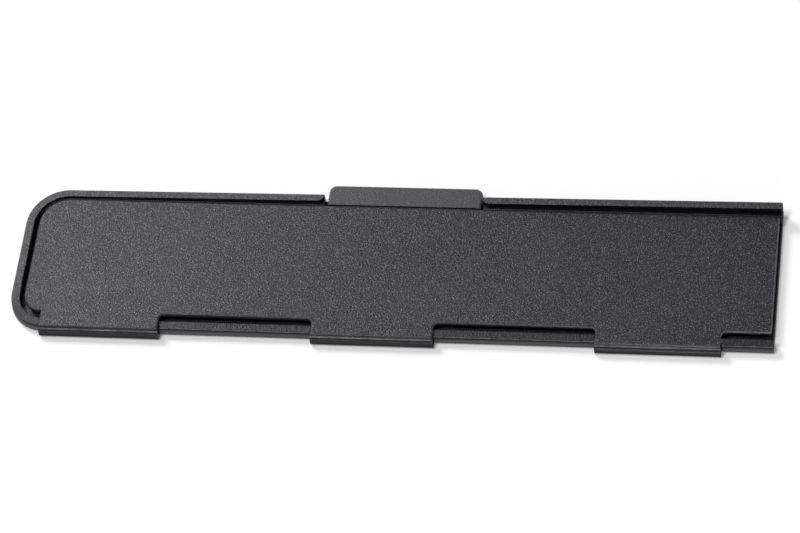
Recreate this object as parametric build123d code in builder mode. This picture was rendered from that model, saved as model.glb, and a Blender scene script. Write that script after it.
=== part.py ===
from build123d import *
import os

# Knife blade guard: a long flat case in two moulded halves that close like a book.
# +X runs from the closed tip to the open mouth, +Y from the hinge to the closing edge,
# +Z is up. The guard lies closed on its back, and the origin is the middle of its underside.
# All lengths are in millimetres. Sketches are drawn on planes whose corner lies at the tip
# on the hinge side, so plan lengths count from there.

# Overall shape of the back half.
length = 215.0
back_depth = 44.9
floor_thickness = 0.8
tip_rim_height = 4.1
mouth_rim_height = 6.6
hinge_rim_height = 3.15
closing_rim_width = 2.2
tip_rim_width = 2.4
hinge_rim_width = 2.45
far_corner_radius = 11.5
near_corner_radius = 9.5
rim_edge_radius = 0.3
hinge_edge_radius = 0.2
level_share = 0.9
rise_start = 2.6
rise_end = 13.0
overrun = 2.4

# Bead round the outside of the back, below a riser that starts at the hinge side's rim.
bead_bulge = 0.35
bead_riser = 0.7
bead_waist = 1.15
bead_root = 0.8

# Seat that the closed cover comes down on.
seat_width = 2.0
seat_gap = 0.05
mouth_lead = 0.35

# Cover plate.
cover_inner_height = 3.1
cover_tip_top = 4.35
cover_mouth_top = 3.9
cover_tip_gap = 1.4
cover_recess = 0.65
cover_far_gap = 0.95
cover_near_gap = 1.55
cover_near_corner = 5.7
cover_edge_radius = 0.55

# Finger tab at the closing edge, and the gap in the rim that it lies in.
tab_centre_share = 0.506
tab_width = 44.0
tab_overhang = 3.5
tab_top = 4.6
tab_skin = 1.1
tab_wall = 1.2
tab_bottom = 1.5
tab_corner_radius = 2.2
tab_edge_radius = 0.7
tab_tip_gap = 1.1
tab_mouth_gap = 0.25
rim_end_radius = 2.0

# Hinge: three leaves of the cover snap over rods that the back carries between its rim blocks.
leaf_centre_shares = [0.1243, 0.486, 0.854]
leaf_width = 34.5
leaf_clearance = 0.15
leaf_corner_radius = 1.5
axis_y = 0.65
axis_z = 2.35
rod_radius = 0.7
running_clearance = 0.07
snap_share = 0.82
hook_step_y = -1.05
hook_shoulder_top = 3.65
hook_ledge = 0.55
hook_ledge_drop = 0.3
hook_riser = 0.7
hook_bulge = 0.5
hook_bulge_drop = 0.95
hook_under_radius = 0.9
hook_bottom = 0.22
hook_inner_y = 1.75
hook_lead = 0.35
swing_clearance = 0.3

# Closing magnets, glued in shallow cups in both halves.
magnet_station_shares = [0.1116, 0.507, 0.9116]
magnet_names = ["tip", "middle", "mouth"]
magnet_inset = 7.9
magnet_radius = 3.0
magnet_thickness = 0.75
magnet_edge = 0.08
glue_gap = 0.05
cup_wall = 0.8

# Felt lining of both halves.
felt_thickness = 0.35
felt_margin = 1.6
felt_corner_radius = 5.0
felt_window_gap = 0.5
felt_mouth_margin = 3.0

# Sizes that follow from the ones above.
above_all = mouth_rim_height + overrun
rim_inner_far = back_depth - closing_rim_width
seat_top = cover_inner_height - seat_gap
seat_edge = rim_inner_far - seat_width
bore_radius = rod_radius + running_clearance
slot_half_height = rod_radius * snap_share
bead_top = hinge_rim_height - bead_riser
bead_drop = bead_top - bead_waist
bead_round = (bead_bulge**2 + bead_drop**2) / (bead_bulge * 2)
hook_riser_y = hook_step_y - hook_ledge
hook_outer_y = hook_riser_y - hook_bulge
riser_top = hook_shoulder_top - hook_ledge_drop
riser_foot = riser_top - hook_riser
hook_waist = riser_foot - hook_bulge_drop
hook_shoulder_round = (hook_ledge**2 + hook_ledge_drop**2) / (hook_ledge_drop * 2)
hook_bulge_round = (hook_bulge**2 + hook_bulge_drop**2) / (hook_bulge * 2)
under_centre_y = hook_outer_y + hook_under_radius
under_centre_z = hook_bottom + hook_under_radius
swing_offset = ((under_centre_y - axis_y) ** 2 + (under_centre_z - axis_z) ** 2) ** 0.5
swing_radius = swing_offset + hook_under_radius
notch_edge = axis_y + swing_radius + swing_clearance
leaf_centres = [length * share for share in leaf_centre_shares]
magnet_stations = [length * share for share in magnet_station_shares]
magnet_y = rim_inner_far - magnet_inset
cover_left = tip_rim_width + cover_tip_gap
cover_right = length - cover_recess
cover_far_edge = rim_inner_far - cover_far_gap
cover_cut_edge = hinge_rim_width + cover_near_gap
cover_far_corner = far_corner_radius - closing_rim_width - cover_far_gap
tab_start = length * tab_centre_share - tab_width / 2
tab_end = tab_start + tab_width
tab_reach = back_depth + tab_overhang
rim_gap_start = tab_start - tab_tip_gap
rim_gap_end = tab_end + tab_mouth_gap
felt_near_edge = notch_edge + felt_margin
felt_far_edge = seat_edge - felt_margin
felt_left_edge = tip_rim_width + seat_width + felt_margin
felt_right_edge = length - felt_mouth_margin
cup_radius = magnet_radius + glue_gap + cup_wall
cup_top = floor_thickness + felt_thickness
cover_cup_bottom = cover_inner_height - felt_thickness
magnet_floor = cup_top - magnet_thickness
notch_half = leaf_width / 2 + leaf_clearance

# Drawing planes through the corner of the back: seen from above, from the mouth, from the hinge.
corner = Vector(-length / 2, -back_depth / 2, 0)
ground = Plane(origin=corner, x_dir=(1, 0, 0), z_dir=(0, 0, 1))
section = Plane(origin=corner, x_dir=(0, 1, 0), z_dir=(1, 0, 0))
profile = Plane(origin=corner, x_dir=(1, 0, 0), z_dir=(0, -1, 0))
bead_plane = Plane(origin=corner + Vector(length, 0, 0), x_dir=(0, -1, 0), z_dir=(-1, 0, 0))


def outline(left, right, near, far, near_radius, far_radius):
    """Plan of a half: square at the mouth, rounded at the tip."""
    with BuildLine() as path:
        Line((right, near), (right, far))
        Line((right, far), (left + far_radius, far))
        RadiusArc((left + far_radius, far), (left, far - far_radius), -far_radius)
        Line((left, far - far_radius), (left, near + near_radius))
        RadiusArc((left, near + near_radius), (left + near_radius, near), -near_radius)
        Line((left + near_radius, near), (right, near))
    return path


back_plan = outline(0, length, 0, back_depth, near_corner_radius, far_corner_radius)
foot_plan = outline(
    bead_root / 2,
    length,
    bead_root / 2,
    back_depth - bead_root / 2,
    near_corner_radius - bead_root / 2,
    far_corner_radius - bead_root / 2,
)
with BuildLine(ground) as bead_path:
    Line((length, 0), (near_corner_radius, 0))
    RadiusArc((near_corner_radius, 0), (0, near_corner_radius), near_corner_radius)
    Line((0, near_corner_radius), (0, back_depth - far_corner_radius))
    RadiusArc((0, back_depth - far_corner_radius), (far_corner_radius, back_depth), far_corner_radius)
    Line((far_corner_radius, back_depth), (length, back_depth))
inner_plan = outline(
    tip_rim_width,
    length + overrun,
    hinge_rim_width,
    rim_inner_far,
    near_corner_radius - hinge_rim_width,
    far_corner_radius - closing_rim_width,
)
well_plan = outline(
    tip_rim_width,
    length + overrun,
    hinge_rim_width,
    seat_edge,
    near_corner_radius - hinge_rim_width,
    far_corner_radius - closing_rim_width - seat_width,
)

with BuildPart() as back_shell:
    # The block that the tray is sunk into, standing on a bead with a rounded foot.
    with BuildSketch(ground.offset(bead_waist)):
        make_face(back_plan.edges())
    extrude(amount=above_all - bead_waist)
    with BuildSketch(ground):
        make_face(foot_plan.edges())
    extrude(amount=bead_top)
    with BuildSketch(bead_plane):
        with BuildLine():
            Line((-bead_root, bead_top), (0, bead_top))
            RadiusArc((0, bead_top), (bead_bulge, bead_waist), bead_round)
            RadiusArc((bead_bulge, bead_waist), (bead_bulge - bead_waist, 0), bead_waist)
            Line((bead_bulge - bead_waist, 0), (-bead_root, 0))
            Line((-bead_root, 0), (-bead_root, bead_top))
        make_face()
    sweep(path=bead_path.line)

    # The closing rim rises in a wedge from the tip to the mouth.
    with BuildSketch(profile):
        with BuildLine():
            Polyline(
                (0, tip_rim_height),
                (length, mouth_rim_height),
                (length, above_all),
                (0, above_all),
                close=True,
            )
        make_face()
    extrude(amount=-back_depth, mode=Mode.SUBTRACT)

    # The rim on the hinge side is lower and climbs to the tip round the near corner.
    with BuildSketch(section):
        with BuildLine():
            Polyline(
                (0, hinge_rim_height),
                (rise_start, hinge_rim_height),
                (rise_end, tip_rim_height),
                (rise_end, above_all),
                (0, above_all),
                close=True,
            )
        make_face()
    extrude(amount=length, mode=Mode.SUBTRACT)

    # The tray: a step along the closing side for the cover to rest on, then the well.
    with BuildSketch(ground.offset(seat_top)):
        make_face(inner_plan.edges())
    extrude(amount=above_all, mode=Mode.SUBTRACT)
    with BuildSketch(ground.offset(floor_thickness)):
        make_face(well_plan.edges())
    extrude(amount=above_all, mode=Mode.SUBTRACT)

    # The gap in the closing rim where the finger tab of the cover lies.
    with BuildSketch(ground.offset(floor_thickness)):
        with Locations(((rim_gap_start + rim_gap_end) / 2, (cover_far_edge + back_depth + overrun) / 2)):
            Rectangle(rim_gap_end - rim_gap_start, back_depth + overrun - cover_far_edge + seat_gap * 2)
    extrude(amount=above_all, mode=Mode.SUBTRACT)
    rim_end_edges = back_shell.edges().filter_by(Axis.Z).filter_by(
        lambda edge: rim_gap_start - seat_gap < edge.center().X - corner.X < rim_gap_end + seat_gap
        and abs(edge.center().Y - corner.Y - rim_inner_far) < seat_gap
    )
    fillet(rim_end_edges, radius=rim_end_radius)

    # The outer top edges of the rim are softened.
    rim_tops = back_shell.faces().filter_by(
        lambda face: face.normal_at().Z > level_share and face.center().Z > tip_rim_height
    )
    top_edges = rim_tops.edges()
    far_edges = top_edges.filter_by(
        lambda edge: abs(edge.center().Y - back_depth / 2) < seat_gap
    )
    tip_edges = top_edges.filter_by(lambda edge: abs(edge.center().X + length / 2) < seat_gap)
    corner_arc = top_edges.filter_by(GeomType.ELLIPSE).sort_by(SortBy.LENGTH)[-1]
    fillet(far_edges + tip_edges + [corner_arc], radius=rim_edge_radius)

    # A notch for each leaf, open through the floor so that the hook can swing.
    for centre in leaf_centres:
        with BuildSketch(ground):
            with Locations((centre, (notch_edge - overrun) / 2)):
                Rectangle(notch_half * 2, notch_edge + overrun)
        extrude(amount=above_all, mode=Mode.SUBTRACT)

    # The blocks that are left between the leaves get a soft outer edge too.
    hinge_edges = back_shell.edges().filter_by(Axis.X).filter_by(
        lambda edge: abs(edge.center().Y + back_depth / 2) < seat_gap
        and abs(edge.center().Z - hinge_rim_height) < seat_gap
        and edge.center().X - corner.X > leaf_centres[0]
    )
    fillet(hinge_edges, radius=hinge_edge_radius)

    # The rod across each notch.
    for centre in leaf_centres:
        with BuildSketch(section.offset(centre - notch_half - leaf_clearance)):
            with Locations((axis_y, axis_z)):
                Circle(rod_radius)
        extrude(amount=notch_half * 2 + leaf_clearance * 2)

    # Lead-in at the mouth, so that a blade slides in over the floor.
    lead_edges = back_shell.edges().filter_by(Axis.Y).filter_by(
        lambda edge: abs(edge.center().X - length / 2) < seat_gap
        and abs(edge.center().Z - floor_thickness) < seat_gap
    )
    fillet(lead_edges, radius=mouth_lead)

    # Cups for the magnets, standing as high as the felt.
    for station in magnet_stations:
        with BuildSketch(ground.offset(floor_thickness / 2)):
            with Locations((station, magnet_y)):
                Circle(cup_radius)
        extrude(amount=cup_top - floor_thickness / 2)
        with BuildSketch(ground.offset(magnet_floor)):
            with Locations((station, magnet_y)):
                Circle(magnet_radius + glue_gap)
        extrude(amount=magnet_thickness, mode=Mode.SUBTRACT)

back_shell.part.label = "back_shell"

with BuildPart() as finger_tab:
    # A smooth block with rounded far corners, hollow from below.
    with BuildSketch(ground.offset(tab_bottom)):
        with Locations(((tab_start + tab_end) / 2, (cover_far_edge + tab_reach) / 2)):
            Rectangle(tab_end - tab_start, tab_reach - cover_far_edge)
    extrude(amount=tab_top - tab_bottom)
    far_posts = finger_tab.edges().filter_by(Axis.Z).group_by(Axis.Y)[-1]
    fillet(far_posts, radius=tab_corner_radius)
    tab_rim = finger_tab.faces().sort_by(Axis.Z)[-1].edges().filter_by(
        lambda edge: edge.center().Y - corner.Y > cover_far_edge + seat_gap
    )
    fillet(tab_rim, radius=tab_edge_radius)
    with BuildSketch(ground.offset(tab_bottom)):
        with Locations(((tab_start + tab_end) / 2, (cover_far_edge + tab_reach) / 2)):
            RectangleRounded(
                tab_end - tab_start - tab_wall * 2,
                tab_reach - cover_far_edge - tab_wall * 2,
                tab_corner_radius - tab_wall,
            )
    extrude(amount=tab_top - tab_skin - tab_bottom, mode=Mode.SUBTRACT)

with BuildPart() as hook:
    # Section of a leaf: a rounded shoulder, a riser, a bead that follows the one on the
    # back, and a lip that wraps under the rod.
    with BuildSketch(section.offset(-leaf_width / 2)):
        with BuildLine():
            hook_root = cover_inner_height + seat_gap
            Line((hook_inner_y, hook_root), (hook_step_y, hook_root))
            Line((hook_step_y, hook_root), (hook_step_y, hook_shoulder_top))
            RadiusArc(
                (hook_step_y, hook_shoulder_top),
                (hook_riser_y, riser_top),
                -hook_shoulder_round,
            )
            Line((hook_riser_y, riser_top), (hook_riser_y, riser_foot))
            RadiusArc((hook_riser_y, riser_foot), (hook_outer_y, hook_waist), -hook_bulge_round)
            Line((hook_outer_y, hook_waist), (hook_outer_y, under_centre_z))
            RadiusArc(
                (hook_outer_y, under_centre_z),
                (under_centre_y, hook_bottom),
                -hook_under_radius,
            )
            Line((under_centre_y, hook_bottom), (hook_inner_y, hook_bottom))
            Line((hook_inner_y, hook_bottom), (hook_inner_y, hook_root))
        make_face()
    extrude(amount=leaf_width)
    lip_edge = hook.edges().filter_by(Axis.X).group_by(Axis.Z)[0].sort_by(Axis.Y)[-1]
    chamfer(lip_edge, length=hook_lead)
    # The bore for the rod and the slot that it snaps in through.
    with BuildSketch(section.offset(-leaf_width / 2)):
        with Locations((axis_y, axis_z)):
            Circle(bore_radius)
        with Locations(((axis_y + hook_inner_y + bore_radius) / 2, axis_z)):
            Rectangle(hook_inner_y + bore_radius - axis_y, slot_half_height * 2)
    extrude(amount=leaf_width, mode=Mode.SUBTRACT)

with BuildPart() as front_cover:
    # Plan of the plate with its three leaves.
    with BuildSketch(ground.offset(cover_inner_height)) as plate_sketch:
        plate_plan = outline(
            cover_left,
            cover_right,
            cover_cut_edge,
            cover_far_edge,
            cover_near_corner,
            cover_far_corner,
        )
        make_face(plate_plan.edges())
        for centre in leaf_centres:
            with Locations((centre, (cover_cut_edge + hook_step_y) / 2 + leaf_corner_radius / 2)):
                Rectangle(leaf_width, cover_cut_edge - hook_step_y + leaf_corner_radius)
        inner_corners = plate_sketch.vertices().filter_by(
            lambda vertex: abs(vertex.Y - cover_cut_edge) < seat_gap
            and min(abs(abs(vertex.X - centre) - leaf_width / 2) for centre in leaf_centres) < seat_gap
            and vertex.X > leaf_centres[0]
        )
        fillet(inner_corners, radius=leaf_corner_radius)
    extrude(amount=above_all)

    # The outer face slopes a little, from the tip down to the mouth.
    with BuildSketch(profile.offset(-hook_step_y + leaf_corner_radius)):
        with BuildLine():
            Polyline(
                (0, cover_tip_top),
                (length, cover_mouth_top),
                (length, above_all * 2),
                (0, above_all * 2),
                close=True,
            )
        make_face()
    extrude(amount=-(back_depth + above_all), mode=Mode.SUBTRACT)
    top_edges = front_cover.faces().sort_by(Axis.Z)[-1].edges()
    fillet(top_edges, radius=cover_edge_radius)

    # The finger tab stands a little above the plate, and a hook hangs from each leaf.
    add(finger_tab.part)
    for centre in leaf_centres:
        with Locations((centre, 0)):
            add(hook.part)
    # The bore and the slot are cut on into the underside of the plate.
    for centre in leaf_centres:
        with BuildSketch(section.offset(centre - leaf_width / 2)):
            with Locations((axis_y, axis_z)):
                Circle(bore_radius)
        extrude(amount=leaf_width, mode=Mode.SUBTRACT)

    # Cups for the magnets on the inside of the plate.
    for station in magnet_stations:
        with BuildSketch(ground.offset(cover_cup_bottom)):
            with Locations((station, magnet_y)):
                Circle(cup_radius)
        extrude(amount=felt_thickness + seat_gap)
        with BuildSketch(ground.offset(cover_cup_bottom)):
            with Locations((station, magnet_y)):
                Circle(magnet_radius + glue_gap)
        extrude(amount=magnet_thickness, mode=Mode.SUBTRACT)

front_cover.part.label = "front_cover"

with BuildPart() as back_liner:
    # Felt on the floor of the back, with a window round each magnet cup.
    with BuildSketch(ground.offset(floor_thickness)):
        back_felt_plan = outline(
            felt_left_edge,
            felt_right_edge,
            felt_near_edge,
            felt_far_edge,
            felt_corner_radius,
            felt_corner_radius,
        )
        make_face(back_felt_plan.edges())
        with Locations([(station, magnet_y) for station in magnet_stations]):
            Circle(cup_radius + felt_window_gap, mode=Mode.SUBTRACT)
    extrude(amount=felt_thickness)

back_liner.part.label = "back_liner"

with BuildPart() as cover_liner:
    # The same felt, glued to the inside of the cover.
    with BuildSketch(ground.offset(cover_inner_height - felt_thickness)):
        cover_felt_plan = outline(
            felt_left_edge,
            felt_right_edge,
            felt_near_edge,
            felt_far_edge,
            felt_corner_radius,
            felt_corner_radius,
        )
        make_face(cover_felt_plan.edges())
        with Locations([(station, magnet_y) for station in magnet_stations]):
            Circle(cup_radius + felt_window_gap, mode=Mode.SUBTRACT)
    extrude(amount=felt_thickness)

cover_liner.part.label = "cover_liner"

os.makedirs("parts", exist_ok=True)
export_step(back_shell.part, "parts/back_shell.step")
export_step(front_cover.part, "parts/front_cover.step")
export_step(back_liner.part, "parts/back_liner.step")
export_step(cover_liner.part, "parts/cover_liner.step")

# One thin disc in each cup, facing each other when the guard is shut.
for name, station in zip(magnet_names, magnet_stations):
    with BuildPart() as back_magnet:
        with BuildSketch(ground.offset(magnet_floor)):
            with Locations((station, magnet_y)):
                Circle(magnet_radius)
        extrude(amount=magnet_thickness)
        chamfer(back_magnet.edges().filter_by(GeomType.CIRCLE), length=magnet_edge)
    back_magnet.part.label = "back_magnet_" + name
    export_step(back_magnet.part, "parts/back_magnet_" + name + ".step")

    with BuildPart() as cover_magnet:
        with BuildSketch(ground.offset(cover_cup_bottom)):
            with Locations((station, magnet_y)):
                Circle(magnet_radius)
        extrude(amount=magnet_thickness)
        chamfer(cover_magnet.edges().filter_by(GeomType.CIRCLE), length=magnet_edge)
    cover_magnet.part.label = "cover_magnet_" + name
    export_step(cover_magnet.part, "parts/cover_magnet_" + name + ".step")
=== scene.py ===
# %% [markdown]
# Knife blade guard, closed and lying on its back
#
# The object is a long flat case in two black halves that close like a book. The packed
# model already has the true shape of every rigid piece, so this notebook gives them their
# finish, makes the felt that lines them, and sets the camera and the light.

import math

import bpy
import numpy as np
from mathutils import Matrix, Vector


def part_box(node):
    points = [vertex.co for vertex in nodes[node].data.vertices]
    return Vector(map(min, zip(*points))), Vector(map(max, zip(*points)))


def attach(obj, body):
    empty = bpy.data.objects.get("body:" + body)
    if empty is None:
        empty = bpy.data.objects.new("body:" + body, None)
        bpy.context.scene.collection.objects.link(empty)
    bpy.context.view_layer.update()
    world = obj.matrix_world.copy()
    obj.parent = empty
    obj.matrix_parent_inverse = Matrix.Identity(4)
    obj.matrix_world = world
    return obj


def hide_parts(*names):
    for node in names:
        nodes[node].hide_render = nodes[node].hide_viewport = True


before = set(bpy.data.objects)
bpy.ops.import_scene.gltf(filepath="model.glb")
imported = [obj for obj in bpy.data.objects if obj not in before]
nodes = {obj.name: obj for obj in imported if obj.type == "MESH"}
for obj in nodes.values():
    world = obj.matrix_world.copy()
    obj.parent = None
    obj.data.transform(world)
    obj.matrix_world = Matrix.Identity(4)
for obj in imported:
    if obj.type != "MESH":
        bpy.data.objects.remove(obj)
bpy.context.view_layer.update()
mm = 0.001
print("nodes:", sorted(nodes))

# %% [markdown]
# The camera
#
# A camera can be placed by eye, but then each edge of the case is a little off. Here it
# was solved from the straight edges of the case: the length of the case fixes the scale,
# and the way its long edges run together fixes the distance. The result is a long lens,
# about a metre away, high above the hinge side and a little towards the mouth.

# %% Set up the camera
picture_width = 800
focal_in_pixels = 3455.9
camera_place = (0.1746, -0.5052, 0.8053)
camera_right = (0.9835, 0.1186, -0.1364)
camera_back = (0.1788, -0.5245, 0.8325)

camera_data = bpy.data.cameras.new("camera")
camera_data.sensor_fit = "HORIZONTAL"
camera_data.sensor_width = 36
camera_data.lens = focal_in_pixels / picture_width * camera_data.sensor_width
camera_data.clip_start = 0.05
camera_data.clip_end = 20
camera = bpy.data.objects.new("camera", camera_data)
bpy.context.scene.collection.objects.link(camera)
right_axis = Vector(camera_right).normalized()
back_axis = Vector(camera_back).normalized()
up_axis = back_axis.cross(right_axis).normalized()
right_axis = up_axis.cross(back_axis)
turned = Matrix((right_axis, up_axis, back_axis)).transposed().to_4x4()
camera.matrix_world = Matrix.Translation(camera_place) @ turned
bpy.context.scene.camera = camera
bpy.context.scene.view_settings.view_transform = "Standard"
print("lens in mm:", round(camera_data.lens, 1))

# %% [markdown]
# Helpers for node trees
#
# Each material below is a small tree of nodes. A node could be made, set and linked in a
# line each, but then the idea of a finish drowns in wiring. With these helpers each line
# says what is worked out from what, and hands its result on as a socket.


# %% Node helpers
def set_inputs(node, inputs):
    """Link each input, by name or number, to its socket, or set it to its plain value."""
    for key, value in inputs.items():
        if isinstance(value, bpy.types.NodeSocket):
            node.id_data.links.new(value, node.inputs[key])
        else:
            node.inputs[key].default_value = value


def add_node(tree, kind, place=(0, 0), inputs=None, **options):
    """A new node of that kind, at that place in the editor, with its options and inputs."""
    node = tree.nodes.new("ShaderNode" + kind)
    node.location = place
    for name, value in options.items():
        setattr(node, name, value)
    set_inputs(node, inputs or {})
    return node


def calculate(tree, operation, values, place=(0, 0), **options):
    """The result of one operation on up to three sockets or numbers."""
    inputs = dict(enumerate(values))
    return add_node(tree, "Math", place, inputs, operation=operation, **options).outputs[0]


def remap(tree, value, old, place=(0, 0), new=(0.0, 1.0)):
    """The value moved from the range old to the range new, and held inside it."""
    inputs = {"Value": value, "From Min": old[0], "From Max": old[1]}
    inputs.update({"To Min": new[0], "To Max": new[1]})
    return add_node(tree, "MapRange", place, inputs).outputs["Result"]


def blend(tree, factor, first, second, place=(0, 0), data_type="RGBA"):
    """First where the factor is 0, second where it is 1, as colours or as plain values."""
    inputs = {"Factor": factor, "A": first, "B": second}
    return add_node(tree, "Mix", place, inputs, data_type=data_type).outputs["Result"]


def noise(tree, vector, scale, detail, place=(0, 0), **more):
    """Soft random values, with about that many swells to the metre."""
    inputs = {"Vector": vector, "Scale": scale, "Detail": detail, **more}
    return add_node(tree, "TexNoise", place, inputs).outputs["Fac"]


def separate(tree, vector, place=(0, 0)):
    """The X, Y and Z of a vector, by name."""
    return add_node(tree, "SeparateXYZ", place, {0: vector}).outputs


def new_material(name, fixed):
    """A material and its shader, with the inputs that stay the same all over."""
    material = bpy.data.materials.new(name)
    material.use_nodes = True
    shader = material.node_tree.nodes["Principled BSDF"]
    set_inputs(shader, fixed)
    return material, shader


print("helpers ready")


# %% Group helpers
def new_group(name, inputs, outputs):
    """An empty shader group and the sockets of its inputs.

    Each input is given as (name, kind, value) and each output as (name, kind).
    """
    group = bpy.data.node_groups.new(name, "ShaderNodeTree")
    for label, kind, value in inputs:
        socket = group.interface.new_socket(label, in_out="INPUT", socket_type=kind)
        if value is not None:
            socket.default_value = value
    for label, kind in outputs:
        group.interface.new_socket(label, in_out="OUTPUT", socket_type=kind)
    return group, group.nodes.new("NodeGroupInput").outputs


def finish_group(group, outputs):
    """Link the sockets that a group puts out."""
    set_inputs(group.nodes.new("NodeGroupOutput"), outputs)
    print(group.name, "has", len(group.nodes), "nodes")


def use_group(tree, group, inputs, place=(0, 0)):
    """The outputs of one use of a group in a material."""
    return add_node(tree, "Group", place, inputs, node_tree=group).outputs


print("group helpers ready")

# %% [markdown]
# Spark grain
#
# The mould of the real case was eroded by sparks, which leaves a sandy skin of small overlapping
# craters on the plastic. A picture of such a skin would show its seams and fix its scale, so the
# grain is worked out from noise in real millimetres. The group puts out a height, which the material
# turns into a bump, and a finer mask of the tops that catch the light, which the material paints pale
# as painted glints and makes less rough. The fine noise is turned askew: left square to the plate,
# its cells would beat against the pixels and the grain would come and go in stripes.

# %% Make the spark grain group
grains_per_metre = 1900.0
crater_share = 0.45
tops_finer_times = 2.0
tops_turn = (0.62, 0.41, 0.93)
tops_range = (0.36, 0.78)

grain_group, given = new_group(
    "spark_grain",
    [("Vector", "NodeSocketVector", None), ("Grains per metre", "NodeSocketFloat", grains_per_metre)],
    [("Height", "NodeSocketFloat"), ("Tops", "NodeSocketFloat")],
)
position, scale = given["Vector"], given["Grains per metre"]
sand = noise(grain_group, position, scale, detail=2.5, place=(-650, 150), Roughness=0.6)
crater_inputs = {"Vector": position, "Scale": scale, "Smoothness": 0.4}
craters = add_node(grain_group, "TexVoronoi", (-650, -150), crater_inputs, feature="SMOOTH_F1")
heights = (craters.outputs["Distance"], crater_share, sand)
skin = calculate(grain_group, "MULTIPLY_ADD", heights, (-350, 50))
finer_scale = calculate(grain_group, "MULTIPLY", (scale, tops_finer_times), (-850, -400))
askew = add_node(grain_group, "Mapping", (-850, -600), {"Vector": position, "Rotation": tops_turn})
facets = noise(grain_group, askew.outputs["Vector"], finer_scale, detail=0.0, place=(-650, -400))
tops = remap(grain_group, facets, tops_range, (-100, -400))
finish_group(grain_group, {"Height": skin, "Tops": tops})

# %% [markdown]
# Settled dust
#
# Black plastic shows the first dust that falls on it. It lies only on what faces up, in
# faint soft patches with a few specks. The plastic, the felt and the magnets all use the
# same group, each with its own amount.

# %% Make the dust group
patches_per_metre = 38.0
specks_per_metre = 2600.0
patch_range = (0.35, 0.75)
speck_range = (0.72, 0.8)
patch_share = 0.5
facing_up = (0.6, 1.0)

dust_group, given = new_group(
    "settled_dust",
    [
        ("Vector", "NodeSocketVector", None),
        ("Normal", "NodeSocketVector", None),
        ("Amount", "NodeSocketFloat", 0.3),
    ],
    [("Mask", "NodeSocketFloat")],
)
patches = noise(dust_group, given["Vector"], patches_per_metre, detail=4.0, place=(-650, 150))
specks = noise(dust_group, given["Vector"], specks_per_metre, detail=1.0, place=(-650, -100))
soft_patches = remap(dust_group, patches, patch_range, (-400, 150))
few_specks = remap(dust_group, specks, speck_range, (-400, -100))
dirt = calculate(dust_group, "MULTIPLY_ADD", (soft_patches, patch_share, few_specks), (-150, 50))
facing = separate(dust_group, given["Normal"], (-400, -350))["Z"]
upward = remap(dust_group, facing, facing_up, (-150, -350))
lying = calculate(dust_group, "MULTIPLY", (dirt, upward), (100, 0))
dust_mask = calculate(dust_group, "MULTIPLY", (lying, given["Amount"]), (350, 0), use_clamp=True)
finish_group(dust_group, {"Mask": dust_mask})

# %% [markdown]
# Where the finish changes
#
# On the real case the grain is on the level faces and the walls are smooth. The rounded edges get
# painted highlights: pale lines where they would catch the lamps. The outer walls of the back are
# painted a shade paler below the line where the mould parted, as painted light for the floor's
# reflection in them. Such places could be painted by hand, but here each is a mask made from the
# normal, the position or both, so it stays where it belongs from every side.

# %% Tell the faces apart
level_range = (0.88, 0.99)
outer_reach = 2 * mm


def face_masks(tree, position, normal):
    """The normal's z, its size |z|, a mask of the level faces and one of the outer walls.

    A face is level where |z| is near 1. On an outer wall the dot product of position and
    normal is above zero, because the normal points away from the middle of the piece.
    """
    facing = separate(tree, normal, (-900, -300))["Z"]
    flatness = calculate(tree, "ABSOLUTE", (facing,), (-750, -300))
    level = remap(tree, flatness, level_range, (-600, -400))
    outward = add_node(tree, "VectorMath", (-600, 1100), operation="DOT_PRODUCT")
    set_inputs(outward, {0: position, 1: normal})
    outer = remap(tree, outward.outputs["Value"], (0.0, outer_reach), (-400, 1100))
    return facing, flatness, level, outer


print("faces are level where |z| is above", level_range[0])

# %% Find the painted edge highlights
edge_start = (0.60, 0.78)
edge_end = (0.98, 0.93)
highlight_reach = (0.5 * mm, 0.4 * mm)
highlight_breaks_per_metre = 420.0
highlight_break_range = (0.3, 0.6)
faintest_highlight = 0.35


def painted_edge_highlights(tree, position, flatness, height, highlight_height, highlight_elsewhere):
    """A mask of the rounded edges that get a painted highlight: the product of four values from 0 to
    1.

    They are |z| past edge_start, |z| short of edge_end, slow noise, and 1 at the given highlight
    height but the given lesser value at other heights.
    """
    tilted = remap(tree, flatness, edge_start, (-600, -550))
    not_level = remap(tree, flatness, edge_end, (-600, -700))
    edge_band = calculate(tree, "MULTIPLY", (tilted, not_level), (-400, -600))
    off_height = calculate(tree, "SUBTRACT", (height, highlight_height), (-700, -750))
    distance = calculate(tree, "ABSOLUTE", (off_height,), (-550, -750))
    near_height = remap(tree, distance, highlight_reach, (-400, -700), new=(highlight_elsewhere, 1.0))
    highlight_breaks = noise(tree, position, highlight_breaks_per_metre, detail=3.0, place=(-600, -850))
    patchy = remap(tree, highlight_breaks, highlight_break_range, (-400, -850), new=(faintest_highlight, 1.0))
    weighted = calculate(tree, "MULTIPLY", (edge_band, near_height), (-300, -600))
    return calculate(tree, "MULTIPLY", (weighted, patchy), (-200, -700))


print("edges are rubbed where |z| is from", edge_start[0], "to", edge_end[0])

# %% Find the lower outer walls painted paler and the smooth tab
upright_range = (0.5, 0.25)
parting_fade = 0.15 * mm
plan_fade = 0.1 * mm


def painted_wall_light(tree, flatness, outer, height, parting_height):
    """A mask of the outer walls below the line where the mould parted, where a paler colour is
    painted as light reflected from the floor.
    """
    upright = remap(tree, flatness, upright_range, (-400, 700))
    parting_range = (parting_height, parting_height - parting_fade)
    under_line = remap(tree, height, parting_range, (-400, 900))
    outer_wall = calculate(tree, "MULTIPLY", (upright, outer), (-300, 700))
    return calculate(tree, "MULTIPLY", (outer_wall, under_line), (-200, 800))


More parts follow.
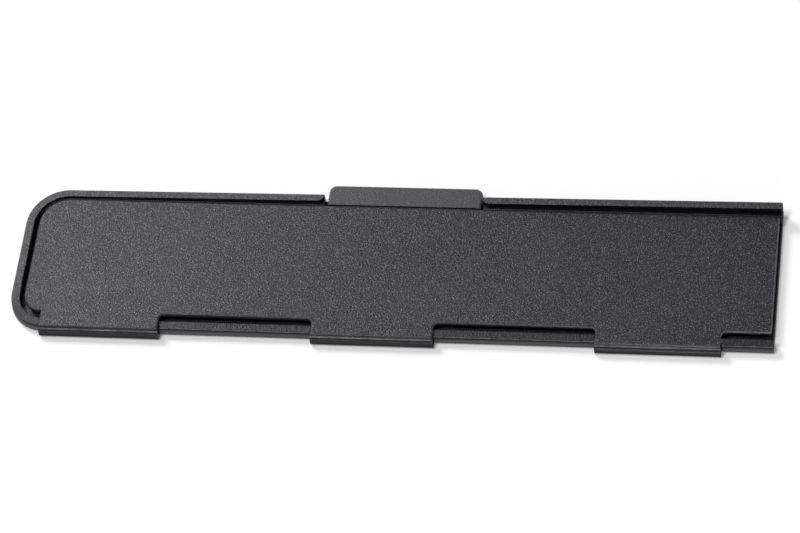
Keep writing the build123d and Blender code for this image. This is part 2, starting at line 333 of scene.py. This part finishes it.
def inside_plan(tree, position, low, high):
    """A mask of what lies between two corners (x, y): the least of half - |p - middle|."""
    middle = [(a + b) / 2 for a, b in zip(low, high)] + [0]
    half = [(b - a) / 2 for a, b in zip(low, high)] + [0]
    shift = add_node(tree, "VectorMath", (-600, -500), operation="SUBTRACT")
    set_inputs(shift, {0: position, 1: middle})
    away = add_node(tree, "VectorMath", (-400, -500), operation="ABSOLUTE")
    set_inputs(away, {0: shift.outputs[0]})
    depth = add_node(tree, "VectorMath", (-200, -500), operation="SUBTRACT")
    set_inputs(depth, {0: half, 1: away.outputs[0]})
    parts = separate(tree, depth.outputs[0], (0, -500))
    least = calculate(tree, "MINIMUM", (parts["X"], parts["Y"]), (150, -450))
    return remap(tree, least, (0.0, plan_fade), (320, -450))


print("walls are upright where |z| is below", upright_range[1])

# %% [markdown]
# Black moulded plastic
#
# Both halves are the same dark plastic with the spark grain on it, and only the finger tab is nearly
# smooth. One material would be enough, but the two halves get one each, so that either can be
# repainted alone. The colours are laid over each other, from the plain black up to the dust, and
# several of them are painted light and shade: glints on the grain, highlights on the edges, a paler
# tab and paler lower outer walls. The level faces of the back's high rim are painted a shade paler,
# as painted light, and the glints on its low strips are painted dimmer, as painted shade.

# %% Name the colours and the gloss of the plastic
plain_darkest = (0.0030, 0.0028, 0.0050, 1)
plain_palest = (0.0050, 0.0047, 0.0080, 1)
# The next three colours are painted light: glints on the grain tops, a paler lower outer wall and a
# paler tab.
glint_colour = (0.164, 0.164, 0.186, 1)
wall_light_colour = (0.070, 0.070, 0.076, 1)
tab_light_colour = (0.106, 0.1055, 0.116, 1)
dust_colour = (0.28, 0.27, 0.26, 1)
# Most of the next values tune painted light and shade: the edge highlights, the glints, the tab and
# the level faces by height.
highlight_blueness = 1.05
drift_per_metre = 22.0
tops_power = 3.0
tab_light_share = 0.4
lit_fade = 0.4 * mm
high_face_light = 0.08
low_glint_share = 0.35
plastic_dust = 0.05

grain_depth = 0.13 * mm
wall_relief = 0.15
tab_relief = 0.5
edge_radius = 0.35 * mm
level_roughness = (0.42, 0.48)
tops_polish = -0.16
wall_roughness = 0.22
dull_roughness = 0.8
leaning_back = (0.05, 0.4)
print("grain depth in mm:", grain_depth / mm)


# %% Paint light and shade on the level faces by height and set the gloss
def light_by_height(tree, tops, level, height, lit_height):
    """Glints painted dimmer below the given height, as painted shade, and level faces above it under
    a pale film of painted light.
    """
    above_lit_height = remap(tree, height, (lit_height, lit_height + lit_fade), (-450, 0))
    glint_share = remap(tree, above_lit_height, (0.0, 1.0), (-300, 0), new=(low_glint_share, 1.0))
    high_level_face = calculate(tree, "MULTIPLY", (above_lit_height, level), (-300, 100))
    film = calculate(tree, "MULTIPLY", (high_level_face, high_face_light), (-150, 100))
    return calculate(tree, "MULTIPLY_ADD", (tops, glint_share, film), (-150, -100))


def skin_roughness(tree, tops, drift, level, outer, facing):
    """Roughness all over: level faces are polished on the tops of their grain.

    Walls are glossy, but the outer ones are dull unless they lean back.
    """
    rough = remap(tree, drift, (0.0, 1.0), (0, 0), new=level_roughness)
    polished = calculate(tree, "MULTIPLY_ADD", (tops, tops_polish, rough), (200, 0))
    outer_range = (dull_roughness, wall_roughness)
    outer_rough = remap(tree, facing, leaning_back, (200, 150), new=outer_range)
    wall_rough = blend(tree, outer, wall_roughness, outer_rough, (300, 100), "FLOAT")
    return blend(tree, level, wall_rough, polished, (400, 0), "FLOAT")


print("walls have a roughness of", wall_roughness, "and dull ones of", dull_roughness)


# %% Make the plastics
def moulded_plastic(
    name, highlight_height, highlight_tone, highlight_elsewhere, parting_height=None, lit_height=None, tab_plan=None
):
    """Black plastic with spark grain, in metres.

    Rounded edges get a painted highlight in the given tone at the highlight height, and a fainter one
    elsewhere. Outer walls are painted paler below parting_height, as painted light for the floor's
    reflection. Level faces above the lit height get a pale film of painted light, and their glints
    are painted dimmer below it, as painted shade. Between the corners tab_plan the skin is nearly
    smooth and painted paler, as painted light.
    """
    fixed = {"Specular IOR Level": 0.35, "Specular Tint": (0.96, 0.95, 1.0, 1)}
    material, shader = new_material(name, fixed)
    tree = material.node_tree
    where = add_node(tree, "TexCoord", (-900, 0)).outputs
    position, normal = where["Object"], where["Normal"]
    height = separate(tree, position, (-900, -700))["Z"]
    facing, flatness, level, outer = face_masks(tree, position, normal)
    grain_inputs = {"Vector": position, "Grains per metre": grains_per_metre}
    grain = use_group(tree, grain_group, grain_inputs, (-600, -200))
    dust_inputs = {"Vector": position, "Normal": normal, "Amount": plastic_dust}
    dust = use_group(tree, dust_group, dust_inputs, (-600, 200))["Mask"]

    # The plain plastic, with painted glints on the tops of the grain of its level faces.
    drift = noise(tree, position, drift_per_metre, detail=3.0, place=(-600, 500))
    colour = blend(tree, drift, plain_darkest, plain_palest, (-300, 500))
    # Painted glints: the highest tops of the grain on level faces get a pale colour.
    few_tops = calculate(tree, "POWER", (grain["Tops"], tops_power), (-450, -100))
    painted_glints = calculate(tree, "MULTIPLY", (few_tops, level), (-300, -100))
    # Painted light on the high level faces and painted shade on the glints of the low ones.
    if lit_height:
        painted_glints = light_by_height(tree, painted_glints, level, height, lit_height)
    colour = blend(tree, painted_glints, colour, glint_colour, (0, 400))
    relief = remap(tree, level, (0.0, 1.0), (-300, -300), new=(wall_relief, 1.0))
    bumps = calculate(tree, "MULTIPLY", (grain["Height"], relief), (0, -250))

    # What only one of the halves has.
    if parting_height:
        # Painted light: the outer walls are paler below the parting line, for the floor's reflection
        # in them.
        wall_light = painted_wall_light(tree, flatness, outer, height, parting_height)
        colour = blend(tree, wall_light, colour, wall_light_colour, (200, 700))
    if tab_plan:
        smooth = inside_plan(tree, position, *tab_plan)
        calmer = remap(tree, smooth, (0.0, 1.0), (320, -650), new=(1.0, tab_relief))
        bumps = calculate(tree, "MULTIPLY", (bumps, calmer), (320, -250))
        # Painted light: the smooth tab is painted paler, standing in for the brighter look of a
        # smooth face.
        paler = calculate(tree, "MULTIPLY", (smooth, tab_light_share), (450, -450))
        colour = blend(tree, paler, colour, tab_light_colour, (250, 400))

    # The painted edge highlights and the dust lie over all of it.
    # Painted highlights: pale lines along the rounded edges, strongest at one height.
    highlighted = painted_edge_highlights(tree, position, flatness, height, highlight_height, highlight_elsewhere)
    highlight_colour = (highlight_tone, highlight_tone, highlight_tone * highlight_blueness, 1)
    colour = blend(tree, highlighted, colour, highlight_colour, (400, 400))
    colour = blend(tree, dust, colour, dust_colour, (600, 300))

    soft_edge = add_node(tree, "Bevel", (250, -450), {"Radius": edge_radius}, samples=6)
    bump_inputs = {"Height": bumps, "Distance": grain_depth, "Normal": soft_edge.outputs["Normal"]}
    bump = add_node(tree, "Bump", (500, -300), bump_inputs).outputs["Normal"]
    roughness = skin_roughness(tree, grain["Tops"], drift, level, outer, facing)
    set_inputs(shader, {"Base Color": colour, "Roughness": roughness, "Normal": bump})
    print(name, "has", len(tree.nodes), "nodes")
    return material


tab_left, tab_right = -20.7 * mm, 23.3 * mm
tab_front = 19.35 * mm
past_tab = 1 * mm
tab_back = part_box("front_cover")[1].y + past_tab
back_plastic = moulded_plastic(
    "back_plastic",
    highlight_height=3.0 * mm,
    highlight_tone=0.24,
    highlight_elsewhere=0.28,
    parting_height=2.4 * mm,
    lit_height=3.4 * mm,
)
cover_plastic = moulded_plastic(
    "cover_plastic",
    highlight_height=3.45 * mm,
    highlight_tone=0.17,
    highlight_elsewhere=0.4,
    tab_plan=((tab_left, tab_front), (tab_right, tab_back)),
)
for node_name, plastic in (("back_shell", back_plastic), ("front_cover", cover_plastic)):
    nodes[node_name].data.materials.clear()
    nodes[node_name].data.materials.append(plastic)

# %% [markdown]
# The felt lining
#
# Each half is lined with a thin sheet of pressed felt, glued down, so that the blade is not
# scratched. Three round windows leave the magnet cups free. Felt could be a flat solid with
# a bump, but that looks like card. Here each sheet is a grid of points, worked out as whole
# arrays: its face is a little lumpy, and it sinks towards every cut edge. The windows are cut
# by leaving out the cells inside them, and the points left round the hole are drawn onto
# the circle, so a coarse grid still gives a clean edge.

# %% Cut the felt
felt_step = 0.6 * mm
window_radius = 4.35 * mm
felt_corner = 5.0 * mm


def touched(cells):
    """The grid points that touch a marked cell, as marks one larger each way."""
    rows, columns = cells.shape
    marks = np.zeros((rows + 1, columns + 1), bool)
    for a, b in ((0, 0), (0, 1), (1, 0), (1, 1)):
        marks[a : a + rows, b : b + columns] |= cells
    return marks


def cut_felt(low, high, magnets):
    """The plan of a sheet, the cells that are kept and the distance to the nearest cut.

    Point (s, t) stands at low + (s * length, t * width). Round a window or a corner with
    middle c and radius R, the rim is drawn to c + R * (p - c) / |p - c|.
    """
    counts = [round((high[k] - low[k]) / felt_step) for k in (0, 1)]
    s, t = np.meshgrid(*(np.linspace(0, 1, n + 1) for n in counts), indexing="ij")
    plan = np.stack([low.x + s * (high.x - low.x), low.y + t * (high.y - low.y)], axis=-1)
    middles = (plan[:-1, :-1] + plan[1:, 1:]) / 2

    # Each cut is a circle, the cells that it takes away, and the side that stays.
    cuts = []
    for magnet in magnets:
        a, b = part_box(magnet)
        centre = np.array([(a.x + b.x) / 2, (a.y + b.y) / 2])
        gone = np.hypot(*np.moveaxis(middles - centre, -1, 0)) < window_radius
        cuts.append((centre, window_radius, gone, 1))
    for side, edge in ((1, low.y), (-1, high.y)):
        centre = np.array([low.x + felt_corner, edge + side * felt_corner])
        away = middles - centre
        beyond = (away[..., 0] < 0) & (side * away[..., 1] < 0)
        gone = beyond & (np.hypot(away[..., 0], away[..., 1]) > felt_corner)
        cuts.append((centre, felt_corner, gone, -1))

    kept = np.ones(middles.shape[:2], bool)
    for centre, radius, gone, side in cuts:
        rim = touched(gone) & touched(~gone)
        away = plan[rim] - centre
        plan[rim] = centre + radius * away / np.hypot(*away.T)[:, None]
        kept &= ~gone
    x, y = plan[..., 0], plan[..., 1]
    to_edge = np.minimum.reduce([x - low.x, high.x - x, y - low.y, high.y - y])
    for centre, radius, gone, side in cuts:
        away = plan - centre
        reach = side * (np.hypot(away[..., 0], away[..., 1]) - radius)
        near = side > 0 or (away[..., 0] < 0) & (away[..., 1] * np.sign(centre[1]) > 0)
        to_edge = np.where(near, np.minimum(to_edge, reach), to_edge)
    return plan, kept, to_edge


print("felt grid step in mm:", felt_step / mm)

# %% Shape a felt sheet
face_sink = 0.03 * mm
wave_sink = 0.012 * mm
lump_sink = 0.006 * mm
edge_sink = 0.1 * mm
edge_reach = 0.4 * mm
glue_gap = 0.01 * mm
first_wave = (7 * mm, 4.5 * mm)
second_wave = (23 * mm, 5 * mm)
crease_degrees = 50


def closed_sheet(kept):
    """The points in use and the quads of a face, its glued side and the cut walls."""
    used = touched(kept)
    number = np.cumsum(used).reshape(used.shape) - 1
    total = int(used.sum())
    corners = (number[:-1, :-1], number[1:, :-1], number[1:, 1:], number[:-1, 1:])
    face = np.stack([c[kept] for c in corners], axis=-1)
    sides = np.concatenate([face[:, [k, (k + 1) % 4]] for k in range(4)])
    forward, backward = sides @ [total, 1], sides @ [1, total]
    rim = sides[~np.isin(backward, forward)]
    walls = np.stack([rim[:, 1], rim[:, 0], rim[:, 0] + total, rim[:, 1] + total], axis=-1)
    return used, np.concatenate([face, face[:, ::-1] + total, walls])


def felt_sheet(name, liner, magnets, faces_up, seed):
    """A pressed felt sheet in the box of its liner, and its area.

    The face lies below the liner's own by face_sink, slow waves, fine lumps and
    edge_sink * exp(-(d / edge_reach)^2), where d is the distance to the nearest cut edge.
    """
    low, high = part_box(liner)
    plan, kept, to_edge = cut_felt(low, high, magnets)
    x, y = plan[..., 0], plan[..., 1]
    lumps = np.random.default_rng(seed).normal(size=x.shape)
    waves = np.sin(x / first_wave[0] + y / first_wave[1])
    waves = waves * np.sin(y / second_wave[1] - x / second_wave[0])
    sink = face_sink + wave_sink * waves + lump_sink * lumps
    sink = sink + edge_sink * np.exp(-((np.maximum(to_edge, 0) / edge_reach) ** 2))
    face_z = high.z - sink if faces_up else low.z + sink
    glued_z = np.full_like(x, low.z + glue_gap if faces_up else high.z - glue_gap)
    used, quads = closed_sheet(kept)
    if not faces_up:
        quads = quads[:, ::-1]
    points = np.concatenate([np.stack([x, y, z], axis=-1)[used] for z in (face_z, glued_z)])

    mesh = bpy.data.meshes.new(name)
    mesh.from_pydata(points.tolist(), [], quads.tolist())
    mesh.shade_smooth()
    mesh.set_sharp_from_angle(angle=math.radians(crease_degrees))
    sheet = bpy.data.objects.new(name, mesh)
    bpy.context.scene.collection.objects.link(sheet)
    along = plan[1:, :-1] - plan[:-1, :-1]
    across = plan[:-1, 1:] - plan[:-1, :-1]
    cell_areas = np.abs(along[..., 0] * across[..., 1] - along[..., 1] * across[..., 0])
    area = float(cell_areas[kept].sum())
    print(name, "points:", len(points), "area in cm2:", round(area * 1e4, 1))
    return sheet, area


print("felt sinks at its edges by", edge_sink / mm, "mm")

# %% [markdown]
# Pressed felt
#
# Felt is a mat of loose fibres with no thread direction. A flat grey would look like rubber.
# Twisted noise gives the strings of fibre, slower noise gives the thick and thin places,
# and a little sheen gives the pale bloom that fibres have at a low angle.

# %% Make the felt material
strings_per_metre = 900.0
string_twist = 1.6
thick_per_metre = 330.0
thick_share = 0.25
fibre_range = (0.45, 0.8)
fibre_darkest = (0.020, 0.020, 0.021, 1)
fibre_palest = (0.13, 0.13, 0.135, 1)
fibre_roughness = (0.98, 0.85)
felt_dust_amount = 0.06
felt_dust_colour = (0.30, 0.29, 0.28, 1)
fibre_depth = 0.12 * mm

fixed = {"Specular IOR Level": 0.1, "Sheen Weight": 0.25, "Sheen Roughness": 0.6}
felt_black, felt_shader = new_material("pressed_felt", fixed)
tree = felt_black.node_tree
where = add_node(tree, "TexCoord", (-1100, 0)).outputs
position, normal = where["Object"], where["Normal"]
fibre_look = {"Roughness": 0.7, "Distortion": string_twist}
strings = noise(tree, position, strings_per_metre, detail=5.0, place=(-850, 200), **fibre_look)
thick = noise(tree, position, thick_per_metre, detail=3.0, place=(-850, -100))
dust_inputs = {"Vector": position, "Normal": normal, "Amount": felt_dust_amount}
dust = use_group(tree, dust_group, dust_inputs, (-850, -400))["Mask"]
fibres = calculate(tree, "MULTIPLY_ADD", (thick, thick_share, strings), (-600, 100))
paleness = remap(tree, fibres, fibre_range, (-400, 100))
colour = blend(tree, paleness, fibre_darkest, fibre_palest, (-200, 200))
colour = blend(tree, dust, colour, felt_dust_colour, (0, 200))
roughness = remap(tree, strings, (0.0, 1.0), (-200, -50), new=fibre_roughness)
bump = add_node(tree, "Bump", (-200, -300), {"Height": fibres, "Distance": fibre_depth})
felt_inputs = {"Base Color": colour, "Roughness": roughness, "Normal": bump.outputs["Normal"]}
set_inputs(felt_shader, felt_inputs)
print("pressed_felt has", len(tree.nodes), "nodes")

# %% Lay the felt in both halves
magnet_places = ("tip", "middle", "mouth")
linings = (("back", "back_shell", True, 5), ("cover", "front_cover", False, 6))
for half, shell, faces_up, seed in linings:
    liner = half + "_liner"
    magnets = [half + "_magnet_" + place for place in magnet_places]
    sheet, sheet_area = felt_sheet(half + "_felt", liner, magnets, faces_up, seed)
    sheet.data.materials.append(felt_black)
    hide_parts(liner)
    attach(sheet, half)

# %% [markdown]
# The magnets
#
# Small disc magnets are plated with nickel, because the magnet metal itself rusts. The
# discs are ground before they are plated, which leaves fine lines under the bright skin.
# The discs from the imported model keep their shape, and only need this finish.

# %% Plate the magnets
grinding_turn = (0, 0, math.radians(24))
grinding_per_metre = (300, 9000, 9000)
clouds_per_metre = 700.0
nickel_darkest = (0.36, 0.345, 0.32, 1)
nickel_palest = (0.48, 0.465, 0.43, 1)
nickel_dust_amount = 0.08
nickel_dust_colour = (0.40, 0.39, 0.38, 1)
line_range = (0.3, 0.7)
nickel_roughness = (0.30, 0.52)
line_depth = 0.01 * mm

nickel, nickel_shader = new_material("nickel_plate", {"Metallic": 1.0})
tree = nickel.node_tree
where = add_node(tree, "TexCoord", (-1100, 0)).outputs
position, normal = where["Object"], where["Normal"]
turned_inputs = {"Vector": position, "Rotation": grinding_turn, "Scale": grinding_per_metre}
along = add_node(tree, "Mapping", (-900, 0), turned_inputs).outputs["Vector"]
lines = noise(tree, along, 1.0, detail=3.0, place=(-650, 100))
clouds = noise(tree, position, clouds_per_metre, detail=2.0, place=(-650, -150))
dust_inputs = {"Vector": position, "Normal": normal, "Amount": nickel_dust_amount}
dust = use_group(tree, dust_group, dust_inputs, (-650, -400))["Mask"]
colour = blend(tree, clouds, nickel_darkest, nickel_palest, (-350, 150))
colour = blend(tree, dust, colour, nickel_dust_colour, (-150, 150))
roughness = remap(tree, lines, line_range, (-350, -100), new=nickel_roughness)
bump = add_node(tree, "Bump", (-350, -350), {"Height": lines, "Distance": line_depth})
nickel_inputs = {"Base Color": colour, "Roughness": roughness, "Normal": bump.outputs["Normal"]}
set_inputs(nickel_shader, nickel_inputs)
for half in ("back", "cover"):
    for place in magnet_places:
        magnet = nodes[half + "_magnet_" + place]
        magnet.data.materials.clear()
        magnet.data.materials.append(nickel)
print("nickel_plate has", len(tree.nodes), "nodes")

# %% [markdown]
# Floor, backdrop and light
#
# The guard lies on a plain white table. The floor adds a little white of its own for the
# rays of the camera and for reflections, and more of it far away, where the lamps hardly
# reach, so the background is white from every side while the lamps stay at a level that
# suits the object. The floor is clear from below, so the underside can be looked at too.
# One soft lamp stands behind on the tip's side, where the top faces mirror it: it makes the
# case paler at the tip than at the mouth. One hangs above and lights the whole table, and a
# weak one in front gives the rounded edges of the hooks their shine. The world is white at
# the level of the table and darker overhead, like a white room with its ceiling lamps off.


# %% Tell the rays apart
def seen_rays(tree, place):
    """One for rays of the camera, of reflections and through glass, and the Light Path."""
    rays = add_node(tree, "LightPath", place).outputs
    direct = calculate(tree, "ADD", (rays["Is Camera Ray"], rays["Is Glossy Ray"]))
    return calculate(tree, "ADD", (direct, rays["Is Transmission Ray"])), rays


print("ray helper ready")

# %% Build the floor
floor_size = 3.0
floor_height = -0.02 * mm
floor_colour = (0.9, 0.9, 0.9, 1)
best_lit = (-0.15, 0.0, 0.0)
glow_reach = (0.1, 1.4)
glow_range = (0.06, 0.85)
shortest_ray = 0.15 * mm

signs = ((-1, -1), (1, -1), (1, 1), (-1, 1))
corners = [(a * floor_size, b * floor_size, floor_height) for a, b in signs]
floor_mesh = bpy.data.meshes.new("floor")
floor_mesh.from_pydata(corners, [], [(0, 1, 2, 3)])
floor = bpy.data.objects.new("floor", floor_mesh)
bpy.context.scene.collection.objects.link(floor)
fixed = {
    "Base Color": floor_colour,
    "Roughness": 1.0,
    "Specular IOR Level": 0.0,
    "Emission Color": (1, 1, 1, 1),
}
floor_paint, floor_shader = new_material("floor_paint", fixed)
tree = floor_paint.node_tree
seen, rays = seen_rays(tree, (-700, 0))
ground = add_node(tree, "TexCoord", (-900, -300)).outputs["Object"]
from_lit = add_node(tree, "VectorMath", (-700, -300), operation="DISTANCE")
set_inputs(from_lit, {0: ground, 1: best_lit})
far_glow = remap(tree, from_lit.outputs["Value"], glow_reach, (-500, -300), new=glow_range)
glow = calculate(tree, "MULTIPLY", (seen, far_glow), (-200, 0))
set_inputs(floor_shader, {"Emission Strength": glow})
backfacing = add_node(tree, "NewGeometry", (0, 400)).outputs["Backfacing"]
short_ray = calculate(tree, "LESS_THAN", (rays["Ray Length"], shortest_ray), (0, 200))
open_floor = calculate(tree, "MAXIMUM", (backfacing, short_ray), (200, 300))
clear = add_node(tree, "BsdfTransparent", (200, 150)).outputs[0]
sides = {0: open_floor, 1: floor_shader.outputs[0], 2: clear}
one_sided = add_node(tree, "MixShader", (450, 200), sides).outputs[0]
set_inputs(tree.nodes["Material Output"], {0: one_sided})
floor_mesh.materials.append(floor_paint)
print("floor is", 2 * floor_size, "m wide")

# %% Build the world
unseen_light = 0.15
ceiling_range = (0.1, 0.65)
ceiling_light = (1.0, 0.22)

world = bpy.data.worlds.new("studio")
bpy.context.scene.world = world
world.use_nodes = True
tree = world.node_tree
seen, rays = seen_rays(tree, (-900, 0))
direction = add_node(tree, "TexCoord", (-900, -300)).outputs["Generated"]
elevation = separate(tree, direction, (-700, -300))["Z"]
ceiling = remap(tree, elevation, ceiling_range, (-500, -300), new=ceiling_light)
strength = blend(tree, seen, unseen_light, ceiling, (-250, 0), "FLOAT")
set_inputs(tree.nodes["Background"], {"Color": (1, 1, 1, 1), "Strength": strength})
print("world has", len(tree.nodes), "nodes")


# %% Light the scene
def soft_lamp(name, place, width, depth, watts):
    """A flat lamp of width by depth at place, in metres, turned to the middle of the guard."""
    data = bpy.data.lights.new(name, "AREA")
    data.shape = "RECTANGLE"
    data.size = width
    data.size_y = depth
    data.energy = watts
    lamp = bpy.data.objects.new(name, data)
    lamp.location = place
    lamp.rotation_euler = (-Vector(place)).to_track_quat("-Z", "Y").to_euler()
    bpy.context.scene.collection.objects.link(lamp)


soft_lamp("lamp_behind", (-0.56, 0.5, 0.8), width=0.35, depth=0.35, watts=6.5)
soft_lamp("lamp_above", (-0.25, -0.3, 1.25), width=0.3, depth=0.5, watts=8.6)
soft_lamp("lamp_front", (0.1, -1.15, 0.33), width=0.4, depth=0.2, watts=2.0)
